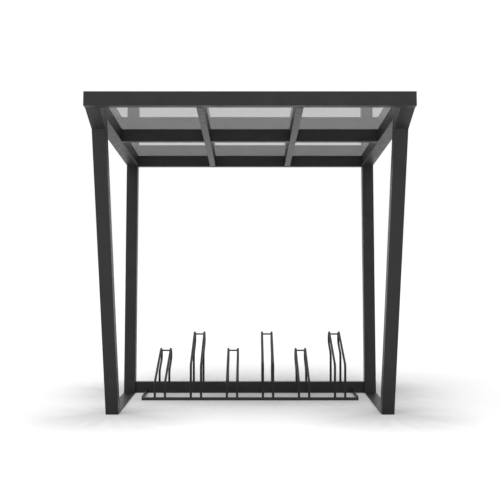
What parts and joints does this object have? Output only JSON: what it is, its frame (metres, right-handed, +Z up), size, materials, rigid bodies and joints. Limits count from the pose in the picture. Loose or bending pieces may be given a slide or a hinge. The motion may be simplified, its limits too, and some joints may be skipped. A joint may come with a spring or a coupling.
{
  "type": "bike shelter",
  "caption": "Open bike shelter: leaning steel side frames carry a sloping glazed roof over a floor rack of low and high wheel holders.",
  "frame": {"origin": "middle of the shelter's outline, on the ground", "axes": "+X to the right seen from the open front, +Y to the rear, +Z up"},
  "size_m": [2.27, 2.3218, 2.3863],
  "materials": {
    "frame_coat": "satin anthracite powder coat",
    "rack_coat": "satin anthracite powder coat",
    "strip_coat": "satin anthracite powder coat",
    "roof_glass": "grey tinted laminated glass"
  },
  "bodies": {
    "root": {"front_fascia": "frame_coat", "rear_roof_beam": "frame_coat", "left_side_rafter": "frame_coat", "right_side_rafter": "frame_coat", "left_mid_rafter": "frame_coat", "right_mid_rafter": "frame_coat", "left_mid_purlin": "frame_coat", "centre_mid_purlin": "frame_coat", "right_mid_purlin": "frame_coat", "left_roof_pane": "roof_glass", "centre_roof_pane": "roof_glass", "right_roof_pane": "roof_glass", "left_edge_strip": "strip_coat", "left_joint_strip": "strip_coat", "right_joint_strip": "strip_coat", "right_edge_strip": "strip_coat", "left_front_leg": "frame_coat", "right_front_leg": "frame_coat", "left_knee": "frame_coat", "right_knee": "frame_coat", "left_rear_post": "frame_coat", "right_rear_post": "frame_coat", "left_base_bar": "frame_coat", "right_base_bar": "frame_coat", "rear_ground_rail": "frame_coat", "rack_front_rail": "rack_coat", "left_rack_bar": "rack_coat", "right_rack_bar": "rack_coat", "wheel_holder_1": "rack_coat", "wheel_holder_2": "rack_coat", "wheel_holder_3": "rack_coat", "wheel_holder_4": "rack_coat", "wheel_holder_5": "rack_coat", "wheel_holder_6": "rack_coat"}
  },
  "joints": []
}
